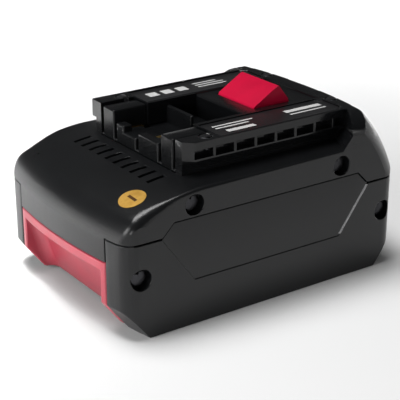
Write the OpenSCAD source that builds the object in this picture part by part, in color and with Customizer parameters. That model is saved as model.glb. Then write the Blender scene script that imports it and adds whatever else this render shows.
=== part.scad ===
// Slide-on battery pack for a cordless power tool, in millimetres.
// X runs along the pack, the red release button is at the minus X end, Z is up.
// The origin is at the middle of the underside.

/* [Cells] */
// Diameter of one cell
cell_d = 18.3; // [17.8:0.1:18.6]
// Length of one cell
cell_l = 65; // [60:0.5:72]
// Gap between neighbouring cells
cell_gap = 0.1; // [0.1:0.05:0.4]
// Height of the lowest point of the cells above the underside
cell_base = 2.45; // [2.4:0.05:4]
// Diameter of the raised positive terminal
terminal_d = 7; // [5:0.5:9]
// Height of the raised positive terminal
terminal_h = 1; // [0.6:0.1:1.6]

/* [Case] */
// Depth kept behind the button end for the pressed button
front_depth = 11.5; // [11.3:0.1:16]
// Room between the last cell and the rear end
rear_room = 6.4; // [6.4:0.1:12]
// Room between the end of a cell and the outer side wall
side_room = 5; // [4.8:0.1:8]
// Room between the top of the cells and the deck
top_room = 6.05; // [6:0.05:9]
// Plan radius of the bowed ends
end_bow_r = 200; // [150:1:220]
// Plan radius of the upright corners
corner_r = 5.5; // [4.5:0.1:7]
// Thickness of the case walls
wall = 2.2; // [1.9:0.1:2.3]
// Thickness of the sloping toe walls at the bottom of the ends
toe_wall = 1.2; // [1:0.1:1.3]
// Run of the toe slope along the pack
toe_run = 7.4; // [5:0.1:7.6]
// Height of the toe slope
toe_rise = 9.7; // [8:0.1:12]
// Radius of the shoulder at the button end
front_shoulder_r = 9.5; // [8:0.5:11]
// Radius of the long sweep from the front shoulder up to the deck
front_sweep_r = 60; // [54:0.5:64]
// Radius of the shoulder at the rear end
rear_shoulder_r = 22; // [16:0.5:24]
// Radius of the long sweep of the rear hump
rear_sweep_r = 60; // [56:1:70]
// Angle at which the rear shoulder turns into the sweep
rear_turn = 29.5; // [28:0.1:36]
// Radius of the rounded side edges of the rear hump
hump_edge_r = 8.5; // [6:0.1:8.6]

/* [Parting line] */
// Height of the parting line at the ends
part_low = 31.6; // [30:0.1:32]
// Rise of the parting line along the middle of the long sides
part_rise = 4.4; // [3:0.1:4.5]
// Half length of the raised stretch
part_half = 36.5; // [34:0.1:38]
// Gap of the visible seam
seam = 0.35; // [0.2:0.05:0.5]
// Depth of the recessed panel on the long sides
panel_depth = 0.6; // [0.3:0.1:0.9]
// Height of the lower edge of the recessed panel
panel_low = 15.4; // [12:0.1:20]
// Half length of the lower edge of the recessed panel
panel_half = 29; // [24:0.5:32]

/* [Tool rails] */
// Height of the rails above the deck
rail_h = 10.8; // [10.5:0.1:12]
// Width across both rail flanges
rail_w = 57.9; // [56:0.1:60]
// Width across the rail webs under the flanges
web_w = 52; // [51:0.1:53]
// Height of the groove under the flanges
groove_h = 4.8; // [4.5:0.1:5.2]
// Place of the front of the rails along the pack
rail_x = -26; // [-27:0.1:-25]
// Place where the flanges run into the rear hump
rail_end_x = 37.6; // [36:0.1:38]
// Plan chamfer at the front corner of the near flange
rail_chamfer = 3; // [2:0.1:3.4]
// Plan chamfer at the front corner of the far flange
rail_chamfer_far = 0.6; // [0.4:0.1:3.4]
// Length by which the groove end wall slants forward at the case side
groove_slant = 4.4; // [2:0.1:6]
// Height of the slope at the foot of the groove end wall
groove_foot = 4.2; // [2:0.1:4.5]
// Run of the slope at the foot of the groove end wall
groove_run = 3.2; // [2:0.1:5]
// Number of pockets along each flange
pocket_n = 8; // [4:1:8]
// Spacing of the pockets
pocket_pitch = 8; // [7.5:0.1:8]
// Length of one pocket
pocket_l = 6.9; // [5:0.1:7.2]
// Height of one pocket
pocket_h = 2.9; // [2:0.1:3.4]
// Depth of one pocket
pocket_depth = 1.6; // [1:0.1:2]
// Depth of the label and latch deck recesses in the top
top_recess = 0.5; // [0.3:0.1:0.6]
// Half width of the deck around the latch
latch_deck_half = 14; // [13.8:0.1:14.4]
// Thickness of the roof over the hollow rails
roof = 1.9; // [1.6:0.1:2]
// Thickness of the rail side walls below the flanges
web_wall = 2.2; // [2:0.1:2.4]

/* [Contacts] */
// Width of one contact slot
slot_w = 1.6; // [1.4:0.1:2]
// Place of the inner side slots across the pack
slot_inner_y = 13.4; // [13:0.1:13.6]
// Place of the outer slots across the pack
slot_outer_y = 21.6; // [21.2:0.1:21.8]
// Length of the contact slots
slot_l = 13; // [12.6:0.1:13.4]
// Height of the low blocks between the inner slots
block_h = 6.6; // [5.5:0.1:7]
// Thickness of one contact leaf
leaf_t = 0.4; // [0.3:0.05:0.5]
// Depth of the open pocket behind the blocks
pocket_floor_depth = 8; // [7:0.1:8.5]
// Half width of the open pocket
pocket_half = 13.3; // [12.8:0.1:13.3]
// Place of the rear wall of the open pocket
pocket_end_x = 6.8; // [6:0.1:7.2]

/* [Button and latch] */
// Travel of the release button
button_travel = 3.6; // [3:0.1:4]
// Drop of the latch when the button is fully pressed
latch_drop = 5.5; // [5:0.1:5.7]
// Width of the button opening
button_w = 54.8; // [50:0.1:55.4]
// Height of the top of the button opening
button_top = 24; // [22:0.1:26]
// Height of the underside of the button
button_base = 1.2; // [0.8:0.1:2]
// Height of the band above the finger scoop
scoop_band = 3.6; // [3:0.1:5]
// Width of the bands beside the finger scoop
scoop_side = 3; // [2.4:0.1:5]
// Depth of the finger scoop at its top
scoop_top_depth = 5.7; // [5.5:0.1:7]
// Thickness of the back of the finger scoop
scoop_wall = 1.4; // [1:0.1:1.4]
// Gap around the button
button_gap = 0.35; // [0.3:0.05:0.5]
// Width of the latch wedge
latch_w = 20.3; // [18:0.1:21]
// Place of the front edge of the latch wedge
latch_x = 13.3; // [13:0.1:14.5]
// Length of the latch wedge
latch_l = 15.1; // [14:0.1:15.5]
// Distance of the ridge from the front edge
latch_ridge = 10.3; // [9:0.1:11]
// Height of the ridge above the latch deck
latch_rise = 5.95; // [5.8:0.05:6.5]
// Gap around the latch in its opening
latch_gap = 0.3; // [0.3:0.05:0.5]
// Diameter of the cross pin
pin_d = 2.6; // [2.4:0.1:2.8]
// Gap of the cross pin in the sloping slots
slot_gap = 0.15; // [0.15:0.05:0.3]
// Thickness of one button arm
arm_t = 2.5; // [2:0.1:2.6]
// Place of the outer face of the arms across the pack
arm_y = 22; // [21.6:0.1:22.2]
// Wire diameter of the latch springs
spring_wire = 0.7; // [0.5:0.1:0.9]
// Outer diameter of the latch springs
spring_d = 5.8; // [5:0.1:6]
// Turns of one latch spring
spring_turns = 6; // [4:1:8]

/* [Fasteners] */
// Place of the upper side screws along the pack
screw_upper_x = 29; // [28.5:0.1:29.5]
// Height of the upper side screws below the deck
screw_upper_drop = 5; // [4.8:0.1:5]
// Distance of the lower side screws from the ends
screw_lower_in = 8.5; // [8.3:0.1:9.5]
// Height of the lower side screws
screw_lower_z = 20.2; // [19:0.1:21]
// Diameter of the side counterbores
bore_d = 6.8; // [6:0.1:7]
// Depth of the side counterbores
bore_depth = 3.4; // [2.8:0.1:3.5]
// Head diameter of the side screws
head_d = 5.4; // [4.8:0.1:5.6]
// Shank diameter of the side screws
shank_d = 2.4; // [2:0.1:2.5]
// Head diameter of the rail screws
rail_head_d = 4; // [3.4:0.1:4]
// Shank diameter of the rail screws
rail_shank_d = 2; // [1.6:0.1:2]
// Place of the front rail screws along the pack
rail_screw_x = -16.4; // [-17:0.1:-16]
// Place of the front rail screws across the pack
rail_screw_y = 24.7; // [24.6:0.1:24.8]
// Place of the rear rail screws along the pack
rear_screw_x = 40.6; // [40:0.1:41]
// Place of the rear rail screws across the pack
rear_screw_y = 17.6; // [17:0.1:20]

/* [Vents and seal] */
// Number of vent slots in the deck
vent_n = 10; // [6:1:10]
// Spacing of the vent slots
vent_pitch = 5; // [4:0.1:5]
// Width of one vent slot
vent_w = 1.5; // [1:0.1:2]
// Length of one vent slot
vent_l = 6.5; // [4:0.1:7]
// Diameter of the round seal
seal_d = 8.8; // [6:0.1:10]
// Thickness of the seal and the label films
film_t = 0.15; // [0.1:0.05:0.25]

/* [Fits] */
// Gap of a sliding or drop-in fit between moulded pieces
fit = 0.2; // [0.15:0.05:0.3]
// Gap of the cells in their holders
cell_fit = 0.1; // [0.05:0.05:0.15]
// Gap of a screw or pin in its hole
hole_fit = 0.05; // [0.02:0.01:0.1]
// Gap under a glued film
glue = 0.02; // [0.01:0.01:0.05]

/* [Hidden] */
$fn = 64;
round_fn = 240;
big = 200;

// Cell grid
cols = 5;
rows = 2;
pitch = cell_d + cell_gap;
cells_l = cols * pitch - cell_gap;
cell_top = cell_base + rows * pitch - cell_gap;

// Case size and its end profiles
case_l = front_depth + button_travel + cells_l + rear_room;
case_w = cell_l + 2 * side_room;
half_l = case_l / 2;
half_w = case_w / 2;
deck_z = cell_top + top_room;
rail_z = deck_z + rail_h;
bow_c = end_bow_r - half_l;
corner_y = half_w - corner_r;
corner_x = sqrt(pow(end_bow_r - corner_r, 2) - pow(corner_y, 2)) - bow_c;
corner_turn = asin(corner_y / (end_bow_r - corner_r));
corner_steps = 8;
overrun = 0.05;
tip_k = (end_bow_r + 2) / (corner_x + bow_c);
tip_x = (corner_x + bow_c) * tip_k - bow_c;
tip_y = corner_y * tip_k;
front_sweep_z = deck_z - front_sweep_r;
front_reach = front_sweep_r - front_shoulder_r;
front_sweep_c = end_bow_r - front_shoulder_r
    - sqrt(pow(front_reach, 2) - pow(part_low - front_sweep_z, 2));
rear_reach = rear_sweep_r - rear_shoulder_r;
rear_sweep_c = end_bow_r - rear_shoulder_r - rear_reach * cos(rear_turn);
rear_sweep_z = part_low - rear_reach * sin(rear_turn);
toe_l = sqrt(toe_run * toe_run + toe_rise * toe_rise);
hump_edge_y = half_w - hump_edge_r + 0.2;
hump_edge_z = rail_z - hump_edge_r + 0.15;
hump_edge_in = rear_sweep_r - hump_edge_r + 0.3;
hump_sweep_x = rear_sweep_c - bow_c - end_bow_r + sqrt(pow(end_bow_r, 2) - pow(hump_edge_y + 2, 2));

// Cell places
cell_left = -half_l + front_depth + button_travel;
function cell_x(col) = cell_left + cell_d / 2 + col * pitch;
function cell_z(row) = cell_base + cell_d / 2 + row * pitch;

// Parting line
part_high = part_low + part_rise;
part_end = part_half + part_rise;
seam_depth = 1;
apron_half = button_w / 2;

// Rails, deck and the hollow under them
latch_deck_z = rail_z - top_recess;
flange_z = deck_z + groove_h;
flange_h = rail_z - flange_z;
hollow_z = latch_deck_z - roof;
hollow_half = web_w / 2 - web_wall;
contact_end_x = rail_x + slot_l;
contact_half = slot_outer_y + slot_w / 2;
pocket_z = rail_z - pocket_floor_depth;
inner_wall = 1.6;
label_x0 = contact_end_x + 0.5;
label_x1 = rail_end_x - 0.1;
label_y0 = latch_deck_half + 0.9;
label_y1 = rail_w / 2 - 1.4;
label_cut = 2;
pocket_x0 = rail_x + 2.8;
pocket_z0 = flange_z + 0.6;
vent_x = rail_x - 4 - vent_l;

// Cell holders, strips and insulators
cell_end = cell_l / 2;
strip_t = 0.2;
strip_w = 8;
plate_t = 0.7;
holder_grip = 4.2;
holder_in = cell_end - holder_grip;
lug_in = max(holder_in, apron_half + 0.9);
holder_out = cell_end + plate_t;
holder_top = cell_top + 1.25;
insulator_t = 0.3;
strip_room = 0.3;
// First column, last column and side of each strip
strip_cols = [[0, 0, -1], [1, 2, -1], [3, 4, -1], [0, 1, 1], [2, 3, 1], [4, 4, 1]];

// Screws
boss_r = bore_d / 2 + 0.8;
seat_y = half_w - bore_depth;
shank_end_y = cell_end - 3.5;
lug_shank_end_y = max(shank_end_y, lug_in + 0.7);
head_h = 1.1;
recess_depth = 0.7;
screw_upper_z = deck_z - screw_upper_drop;
screw_lower_x = half_l - screw_lower_in;
side_screw_places = [
    for (sx = [-1, 1]) [sx * screw_upper_x, screw_upper_z],
    for (sx = [-1, 1]) [sx * screw_lower_x, screw_lower_z]
];
rail_head_h = 1.1;
head_room = 0.15;
rail_seat_z = rail_z - rail_head_h - 0.1;
rail_screw_end_z = cell_top + 0.85;
rail_screw_places = [
    for (sy = [-1, 1]) [rail_screw_x, sy * rail_screw_y],
    for (sy = [-1, 1]) [rear_screw_x, sy * rear_screw_y]
];
post_top_z = cell_top + 4.3;

// Board, tray and contacts
tray_z = cell_top + 0.1;
tray_t = 1.2;
tray_top = tray_z + tray_t;
tray_half = arm_y - arm_t - 0.7;
tray_x0 = rail_x + 1;
tray_x1 = rail_end_x - 4.6;
board_z = cell_top + 3.25;
board_t = 1.6;
board_top = board_z + board_t;
board_x0 = rail_x + 2;
board_x1 = pocket_end_x + 0.2;
board_half = tray_half - 0.3;
holder_floor_t = 1.6;
block_base_z = deck_z + 0.8;
leaf_x0 = rail_x + 3.2;
leaf_l = 7.6;
leaf_base_t = 0.5;
contact_places = [-slot_outer_y, -slot_inner_y, 0, slot_inner_y, slot_outer_y];
seat_x = contact_end_x + 8;
front_wall = 3.5;
notch_y = 8.1;
notch_z = pocket_z + 1.6;
rib_x = contact_end_x + 7.2;
rib_t = 1.2;
rib_end_y = -1.6;

// Leads and temperature sensor
lead_x = rail_x + 1.6;
lead_w = 4.4;
lead_t = 0.25;
lead_h = 3;
wire_r = 0.9;
wire_x = rail_end_x - 3.1;
wire_y = board_half - 1.5;
wire_z = holder_top + 1.1;
wire_tab = 1.2;
wire_path = [
    [wire_x, cell_end + strip_t + lead_t / 2, wire_z],
    [wire_x, wire_y, wire_z],
    [board_x1 + 1.5, wire_y, wire_z],
    [board_x1 + 1.5, wire_y, board_top + wire_r],
    [board_x1 - 3, wire_y, board_top + wire_r]
];
thermistor_x = (cell_x(1) + cell_x(2)) / 2;
thermistor_z = cell_z(1) + 6;
thermistor_r = 1.5;

// Button, arms and latch mechanism
scoop_bottom_depth = front_depth;
scoop_half = apron_half - scoop_side;
button_half = apron_half - button_gap;
press_room = scoop_wall + button_travel + 0.3;
button_z = button_top - button_gap;
scoop_z = button_top - scoop_band;
riser_x = -half_l + 6;
riser_t = 2.2;
arm_z0 = cell_top + 0.35;
arm_z1 = deck_z - wall - 1.2;
latch_base_z = tray_top + latch_drop + 1.55;
latch_flange_h = 1.5;
latch_flange = 1.4;
sleeve_z = latch_base_z + latch_flange_h + fit;
sleeve_wall = 1.5;
pin_x = latch_x + 3.2;
pin_z = latch_base_z + 2.6;
pin_half = arm_y + 0.3;
cam_r = pin_d / 2 + slot_gap;
cam_flat = cam_r - 0.02;
cam_rim = 1.3;
cam_reach = norm([button_travel, latch_drop]);
arm_end_x = pin_x + 5.4;
spring_x = latch_x + 9.2;
spring_y = 5.5;
spring_pocket_d = spring_d + 0.6;
spring_top = latch_deck_z - 0.5;
spring_low = tray_top;
ring_n = 6;
turn_n = 12;
coil_r = spring_d / 2 - spring_wire / 2;
coil_h = spring_top - spring_low - spring_wire - 0.1;
coil_steps = spring_turns * turn_n;
coil_lead = atan(coil_h / spring_turns / (2 * PI * coil_r));
cradle_r = cell_d / 2 + 0.25;
cradle_t = 0.5;
notch_x = cell_left + 2;

// Seal on the front sweep
seal_x = -half_l + 12.3;
seal_y = -26.6;

// Box between two corners
module span(low, high) {
    translate(low) cube(high - low);
}

// Outline in the XZ plane drawn out along Y between y0 and y1
module along_y(y0, y1) {
    translate([0, y1, 0]) rotate([90, 0, 0]) linear_extrude(y1 - y0) children();
}

// Round bar along Y
module bar_y(x, z, r, y0, y1) {
    translate([x, y1, z]) rotate([90, 0, 0]) cylinder(h = y1 - y0, r = r);
}

// Both sides of the pack
module both_sides() {
    children();
    mirror([0, 1, 0]) children();
}

// Plan of one corner inset by t, from the side wall round to a point past the bowed end
function corner_points(t) = concat(
    [for (i = [0 : corner_steps])
        let (a = 90 + (corner_turn - 90) * i / corner_steps)
        let (r = corner_r - t + (i == corner_steps ? overrun : 0))
        [corner_x + r * cos(a), corner_y + r * sin(a)]],
    [[tip_x, tip_y]]
);
function turned(points, sx, sy) = [for (p = points) [sx * p[0], sy * p[1]]];
function backwards(points) = [for (i = [len(points) - 1 : -1 : 0]) points[i]];

// Plan of the case inset by t, run past the bowed ends, which the end profiles trim
module case_plan(t) {
    c = corner_points(t);
    polygon(concat(
        c, backwards(turned(c, 1, -1)), turned(c, -1, -1), backwards(turned(c, -1, 1))
    ));
}

// Radius and height where the toe slope, inset by tt, meets the inset floor and end wall
function toe_floor_r(t, tt) = end_bow_r - toe_run - tt * toe_rise / toe_l
    + (t - tt * toe_run / toe_l) * toe_run / toe_rise;
function toe_wall_z(t, tt) = tt * toe_run / toe_l
    + (toe_run - t + tt * toe_rise / toe_l) * toe_rise / toe_run;

// Upright part of an end profile, up to the shoulder centre
module end_foot(t, tt, shoulder_c, top_r) {
    polygon([
        [0, t], [toe_floor_r(t, tt), t], [end_bow_r - t, toe_wall_z(t, tt)],
        [end_bow_r - t, part_low], [shoulder_c, part_low], [top_r, part_low], [0, part_low]
    ]);
}

// Part of a circle between straight up and the ray at an angle from level
module upper_sector(r, angle) {
    intersection() {
        circle(r, $fn = round_fn);
        polygon([[0, 0], [0, 2 * r], [2 * r, 2 * r], [2 * r * cos(angle), 2 * r * sin(angle)]]);
    }
}

// Half profile of the button end: toe, wall, tight shoulder and long sweep to the deck
module front_profile(t, tt) {
    c = end_bow_r - front_shoulder_r;
    turn = asin((part_low - front_sweep_z) / front_reach);
    end_foot(t, tt, c, front_sweep_c);
    translate([c, part_low]) circle(front_shoulder_r - t);
    translate([front_sweep_c, front_sweep_z]) upper_sector(front_sweep_r - t, turn);
    translate([0, part_low / 2]) square([front_sweep_c, deck_z - t - part_low / 2]);
}

// Half profile of the rear end: toe, wall, wide shoulder and the sweep of the hump
module rear_profile(t, tt) {
    c = end_bow_r - rear_shoulder_r;
    intersection() {
        union() {
            end_foot(t, tt, c, rear_sweep_c);
            intersection() {
                translate([c, part_low]) circle(rear_shoulder_r - t, $fn = round_fn);
                translate([c - big, part_low - 1]) square([2 * big, big]);
            }
            translate([rear_sweep_c, rear_sweep_z]) upper_sector(rear_sweep_r - t, rear_turn);
            translate([0, part_low / 2]) square([rear_sweep_c, big]);
        }
        square([2 * big, rail_z - t]);
    }
}

// Plan of the rear hump with its slanted front walls, inset by t
module hump_plan(t) {
    slope = groove_slant / (half_w - rail_w / 2);
    x0 = rail_end_x + t;
    x1 = x0 - slope * (half_w + 2 - rail_w / 2);
    polygon([
        [x0, -rail_w / 2], [x1, -half_w - 2], [half_l + 2, -half_w - 2],
        [half_l + 2, half_w + 2], [x1, half_w + 2], [x0, rail_w / 2]
    ]);
}

// Waste outside the rounded side edge of the hump, inset by t, on the plus Y side
module hump_edge_waste(t) {
    r = hump_edge_r - t;
    difference() {
        span([0, hump_edge_y, hump_edge_z], [half_l + 2, half_w + 2, rail_z + 2]);
        translate([-1, hump_edge_y, hump_edge_z]) rotate([0, 90, 0]) cylinder(h = half_l + 4, r = r);
    }
    intersection() {
        span([rail_end_x - 10, hump_edge_y - 1, part_low - 4], [half_l + 2, half_w + 2, rail_z + 2]);
        translate([hump_sweep_x, 0, rear_sweep_z]) rotate([-90, 0, 0])
            rotate_extrude($fn = round_fn) translate([hump_edge_in, hump_edge_y]) difference() {
                square([4 * hump_edge_r, 2 * hump_edge_r]);
                circle(r);
            }
    }
}

// Outer form of the case, inset by t on its walls and by tt on the toe slopes
module body(t, tt) {
    difference() {
        intersection() {
            translate([0, 0, -1]) linear_extrude(rail_z + 5) case_plan(t);
            translate([-bow_c, 0, 0]) rotate_extrude($fn = round_fn) rear_profile(t, tt);
            union() {
                translate([bow_c, 0, 0]) rotate_extrude($fn = round_fn) front_profile(t, tt);
                translate([0, 0, deck_z - 12]) linear_extrude(big) hump_plan(t);
            }
        }
        both_sides() hump_edge_waste(t);
    }
}

module cavity() {
    body(wall, toe_wall);
}

// Everything above the parting line raised by lift
module above_parting(lift) {
    along_y(-half_w - 2, half_w + 2) polygon([
        [-big, part_low + lift], [-part_end, part_low + lift], [-part_half, part_high + lift],
        [part_half, part_high + lift], [part_end, part_low + lift], [big, part_low + lift],
        [big, big], [-big, big]
    ]);
}

// Counterbored boss on the inside of a long wall, on the minus Y side
module side_boss(p) {
    bar_y(p[0], p[1], boss_r, -half_w + wall / 2, -holder_out);
}

// Counterbore and screw hole through a long wall, on the minus Y side
module side_bore(p) {
    bar_y(p[0], p[1], bore_d / 2, -half_w - 1, -seat_y);
    bar_y(p[0], p[1], shank_d / 2 + 4 * hole_fit, -seat_y - 1, -holder_out + 1);
}

module bottom_shell() {
    color([0.11, 0.11, 0.12]) difference() {
        union() {
            difference() {
                body(0, 0);
                cavity();
                above_parting(0);
                span([-big, -apron_half, -1], [notch_x, apron_half, part_high + 1]);
            }
            intersection() {
                body(wall / 2, toe_wall / 2);
                both_sides()
                    for (p = side_screw_places)
                        if (p[1] < part_low) side_boss(p);
            }
            cell_cradle();
        }
        both_sides() {
            for (p = side_screw_places)
                if (p[1] < part_low) side_bore(p);
            side_panel();
        }
    }
}

// Thin curved rib that parts the first cell from the room behind the button
module cell_cradle() {
    intersection() {
        difference() {
            bar_y(cell_x(0), cell_z(0), cradle_r + cradle_t, -apron_half, apron_half);
            bar_y(cell_x(0), cell_z(0), cradle_r, -half_w, half_w);
        }
        span([-big, -half_w, wall / 2], [cell_x(0) - 2, half_w, cell_z(0)]);
    }
}

// Shallow trapezoid panel on the minus Y side, its upper edge is the parting line
module side_panel() {
    along_y(-half_w - 1, -half_w + panel_depth) polygon([
        [-part_half, part_high + 1], [-part_half, part_high], [-part_end, part_low],
        [-panel_half, panel_low], [panel_half, panel_low],
        [part_end, part_low], [part_half, part_high], [part_half, part_high + 1]
    ]);
}

// Rail webs and flanges before they are hollowed
module rail_block() {
    rail_x1 = rail_end_x + 1;
    span([rail_x, -web_w / 2, deck_z - 1], [rail_x1, web_w / 2, rail_z]);
    y1 = rail_w / 2;
    translate([0, 0, flange_z]) linear_extrude(flange_h) polygon([
        [rail_x, -y1 + rail_chamfer], [rail_x + rail_chamfer, -y1], [rail_x1, -y1],
        [rail_x1, y1], [rail_x + rail_chamfer_far, y1], [rail_x, y1 - rail_chamfer_far]
    ]);
}

// Slope at the foot of the groove end wall, on the minus Y side
module groove_ramp() {
    run = half_w - rail_w / 2;
    angle = atan(groove_slant / run);
    intersection() {
        translate([rail_end_x, -rail_w / 2, 0]) rotate([0, 0, -angle])
            along_y(-run - 4, 4) polygon([
                [1, deck_z - 1], [-groove_run * (1 + 1 / groove_foot), deck_z - 1],
                [0, deck_z + groove_foot], [1, deck_z + groove_foot]
            ]);
        span([0, -half_w, 0], [half_l, -web_w / 2 + 1, rail_z]);
    }
}

// Pockets in the outer face of one flange, on the minus Y side
module flange_pockets() {
    for (i = [0 : pocket_n - 1]) {
        x0 = pocket_x0 + i * pocket_pitch;
        x1 = min(x0 + pocket_l, rail_end_x - 0.6);
        span([x0, -rail_w / 2 - 1, pocket_z0], [x1, -rail_w / 2 + pocket_depth, pocket_z0 + pocket_h]);
    }
}

// Label outline on one rail, on the minus Y side, inset by t
module label_outline(t) {
    polygon([
        [label_x0 + t, -label_y0 - t], [label_x1 - label_cut, -label_y0 - t],
        [label_x1 - t, -label_y0 - label_cut], [label_x1 - t, -label_y1 + label_cut],
        [label_x1 - label_cut, -label_y1 + t], [label_x0 + t, -label_y1 + t]
    ]);
}

// Room under the rails and the latch deck, around the walls of the open pocket
module rail_hollow() {
    difference() {
        span([contact_end_x + inner_wall, -hollow_half, deck_z - wall - 1],
             [rail_end_x + wall - 0.2, hollow_half, hollow_z]);
        span([rail_x, -pocket_half - inner_wall, 0],
             [pocket_end_x + 1.5, pocket_half + inner_wall, rail_z]);
    }
}

// Outline of the latch in plan, grown by g
module latch_plan(g) {
    translate([latch_x - g, -latch_w / 2 - g]) square([latch_l + 2 * g, latch_w + 2 * g]);
}

module top_shell() {
    color([0.1, 0.1, 0.11]) difference() {
        union() {
            difference() {
                union() {
                    intersection() {
                        body(0, 0);
                        union() {
                            above_parting(seam);
                            span([-big, -apron_half + seam, button_top],
                                 [notch_x, apron_half - seam, part_high]);
                        }
                    }
                    intersection() {
                        body(seam_depth, seam_depth);
                        above_parting(0);
                    }
                    rail_block();
                    both_sides() groove_ramp();
                }
                cavity();
                rail_hollow();
            }
            intersection() {
                above_parting(seam);
                both_sides()
                    for (p = side_screw_places)
                        if (p[1] > part_low) side_boss(p);
            }
            for (p = rail_screw_places)
                if (p[0] > 0)
                    translate([p[0], p[1], post_top_z])
                        cylinder(h = hollow_z - post_top_z + 0.5, d = rail_head_d);
            translate([0, 0, sleeve_z]) linear_extrude(hollow_z - sleeve_z + 0.5)
                latch_plan(latch_gap + sleeve_wall);
        }
        both_sides() {
            for (p = side_screw_places)
                if (p[1] > part_low) side_bore(p);
            flange_pockets();
            translate([0, 0, latch_deck_z]) linear_extrude(5) label_outline(0);
        }
        span([pocket_end_x, -latch_deck_half, latch_deck_z], [label_x1, latch_deck_half, big]);
        span([rail_x - fit, -contact_half, deck_z - wall - 1], [contact_end_x, contact_half, big]);
        span([rail_x, -pocket_half, deck_z - wall - 1], [pocket_end_x, pocket_half, big]);
        translate([0, 0, deck_z - wall]) linear_extrude(big) latch_plan(latch_gap);
        span([pin_x - cam_r, -latch_w, deck_z - wall], [pin_x + cam_r, latch_w, pin_z + cam_r]);
        for (p = rail_screw_places) {
            translate([p[0], p[1], rail_seat_z]) cylinder(h = 5, d = rail_head_d + 2 * head_room);
            translate([p[0], p[1], deck_z - wall - 1])
                cylinder(h = rail_h + wall, d = rail_shank_d + 6 * hole_fit);
        }
        span([contact_end_x - 1, -board_half, 0], [seat_x + fit, board_half, pocket_z + fit]);
        span([board_x0, -board_half - fit, 0], [board_x1 + fit, board_half + fit, board_top + fit]);
        for (i = [0 : vent_n - 1]) {
            y = (i - (vent_n - 1) / 2) * vent_pitch;
            span([vent_x, y - vent_w / 2, deck_z - 2 * wall], [vent_x + vent_l, y + vent_w / 2, rail_z]);
        }
    }
}

// Terminal block: two tall strips, two low blocks, the pocket floor and a cross rib
module contact_holder() {
    x1 = contact_end_x - fit;
    y_strip = slot_inner_y + slot_w / 2;
    y_block = slot_inner_y - slot_w / 2;
    y_out = contact_half - fit;
    y_seat = board_half - fit;
    y_pocket = pocket_half - fit;
    floor_z = pocket_z - holder_floor_t;
    low_z = board_top + leaf_base_t + fit;
    foot_z = block_base_z - 1;
    color([0.09, 0.09, 0.1]) difference() {
        union() {
            span([rail_x, -y_out, low_z], [x1, y_out, block_base_z]);
            both_sides() {
                span([rail_x, y_strip, foot_z], [x1, slot_outer_y - slot_w / 2, latch_deck_z]);
                span([rail_x, slot_w / 2, foot_z], [x1 - 3, y_block, pocket_z + 1]);
                span([rail_x, slot_w / 2, foot_z], [rail_x + front_wall, y_block, deck_z + block_h]);
                span([x1 - 1, y_seat - 1.8, board_top], [seat_x, y_seat, pocket_z]);
            }
            span([rail_x + 1, -y_out + 1.4, floor_z], [x1, y_out - 1.4, pocket_z]);
            span([x1 - 1, -y_seat, floor_z], [seat_x, y_seat, pocket_z]);
            span([x1 - 1, -y_pocket, floor_z], [pocket_end_x - fit, y_pocket, pocket_z]);
            span([rib_x, rib_end_y, floor_z], [rib_x + rib_t, y_pocket, rail_z - 2]);
        }
        for (y = contact_places) {
            span([rail_x - 1, y - slot_w / 2, block_base_z], [x1 + 1, y + slot_w / 2, big]);
            span([leaf_x0 - fit, y - slot_w / 2, 0], [leaf_x0 + leaf_l + fit, y + slot_w / 2, big]);
        }
        span([rail_x - 1, 0, notch_z], [rail_x + front_wall + 1, notch_y, big]);
    }
}

// Moulded tray on the cells with posts for the board and seats for the springs
module board_tray() {
    color([0.2, 0.2, 0.22]) difference() {
        union() {
            span([tray_x0, -tray_half, tray_z], [tray_x1, tray_half, tray_top]);
            for (x = [board_x0 + 6.5, board_x1 - 4], sy = [-1, 1])
                translate([x, sy * (board_half - 3), tray_top - 0.2])
                    cylinder(h = board_z - tray_top + 0.2, r = 1.4);
            for (sy = [-1, 1])
                translate([spring_x, sy * spring_y, tray_top - 0.2])
                    cylinder(h = 1.2, d = spring_d - 2 * spring_wire - 0.4);
        }
        translate([thermistor_x, 0, 0]) cylinder(h = big, r = 2.2);
    }
}

module bms_board() {
    color([0.05, 0.3, 0.12])
        span([board_x0, -board_half, board_z], [board_x1, board_half, board_top]);
}

// Power transistors, controller, shunt and capacitors on top of the board
module board_parts() {
    x0 = contact_end_x + 2;
    h = 1.7;
    color([0.13, 0.13, 0.14]) {
        for (i = [0 : 2])
            span([x0, -9.5 + 7 * i, board_top], [x0 + 5, -4.5 + 7 * i, board_top + h]);
        span([x0 + 8, -4, board_top], [x0 + 13, 1, board_top + 0.9]);
        for (i = [0 : 3])
            span([x0 + 8 + 2.4 * i, 5, board_top], [x0 + 9.4 + 2.4 * i, 6, board_top + 0.7]);
        span([x0 + 8, -10, board_top], [x0 + 14, -7, board_top + 0.6]);
    }
}

// Forked spring contact standing in one slot, the outer ones reach in to the board
module contact(i) {
    y = contact_places[i];
    top = abs(y) > board_half ? rail_z - 3.2 : pocket_z + 0.8;
    outer = slot_w / 2 - hole_fit;
    foot = abs(y) > board_half ? y - sign(y) * 3.8 : y;
    color([0.78, 0.68, 0.4]) {
        for (s = [-1, 1])
            span([leaf_x0, y + s * (outer - leaf_t / 2) - leaf_t / 2, board_top],
                 [leaf_x0 + leaf_l, y + s * (outer - leaf_t / 2) + leaf_t / 2, top]);
        span([leaf_x0, min(y, foot) - outer, board_top],
             [leaf_x0 + leaf_l, max(y, foot) + outer, board_top + leaf_base_t]);
    }
}

// Slope of the scoop back wall, as an X for each height
function scoop_x(z) = -half_l + scoop_bottom_depth
    - (scoop_bottom_depth - scoop_top_depth) * (z - button_base) / (scoop_z - button_base);

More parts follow.
